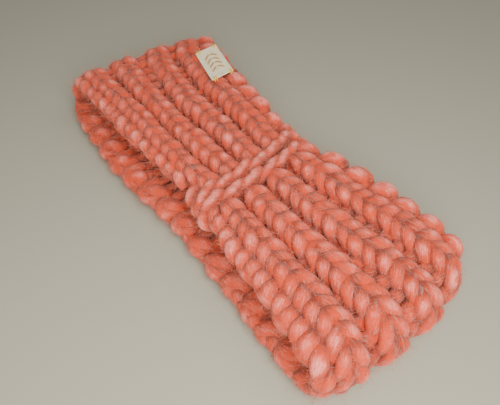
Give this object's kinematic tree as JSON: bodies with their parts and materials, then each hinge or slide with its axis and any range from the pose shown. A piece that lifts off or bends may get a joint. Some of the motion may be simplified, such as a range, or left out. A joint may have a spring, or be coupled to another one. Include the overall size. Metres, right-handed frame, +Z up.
{
  "type": "ear warmer headband",
  "caption": "Chunky ribbed knit ear warmer: a wide band lying folded flat in two layers, drawn in at a gathered seam, with a small cloth label.",
  "frame": {"origin": "on the surface that the band lies on, under the middle of its bounding box", "axes": "+X along the folded band from the labelled fold to the plain fold, +Y across it towards the labelled edge, +Z up"},
  "size_m": [0.2517, 0.1114, 0.0341],
  "materials": {
    "knit": "heathered coral wool, thick and fuzzy",
    "seam": "heathered coral wool, thick and fuzzy",
    "label": "off-white woven cotton tape with a plain ochre chevron motif"
  },
  "bodies": {
    "root": {"knit_band": "knit", "gather_seam": "seam", "label": "label"}
  },
  "joints": []
}
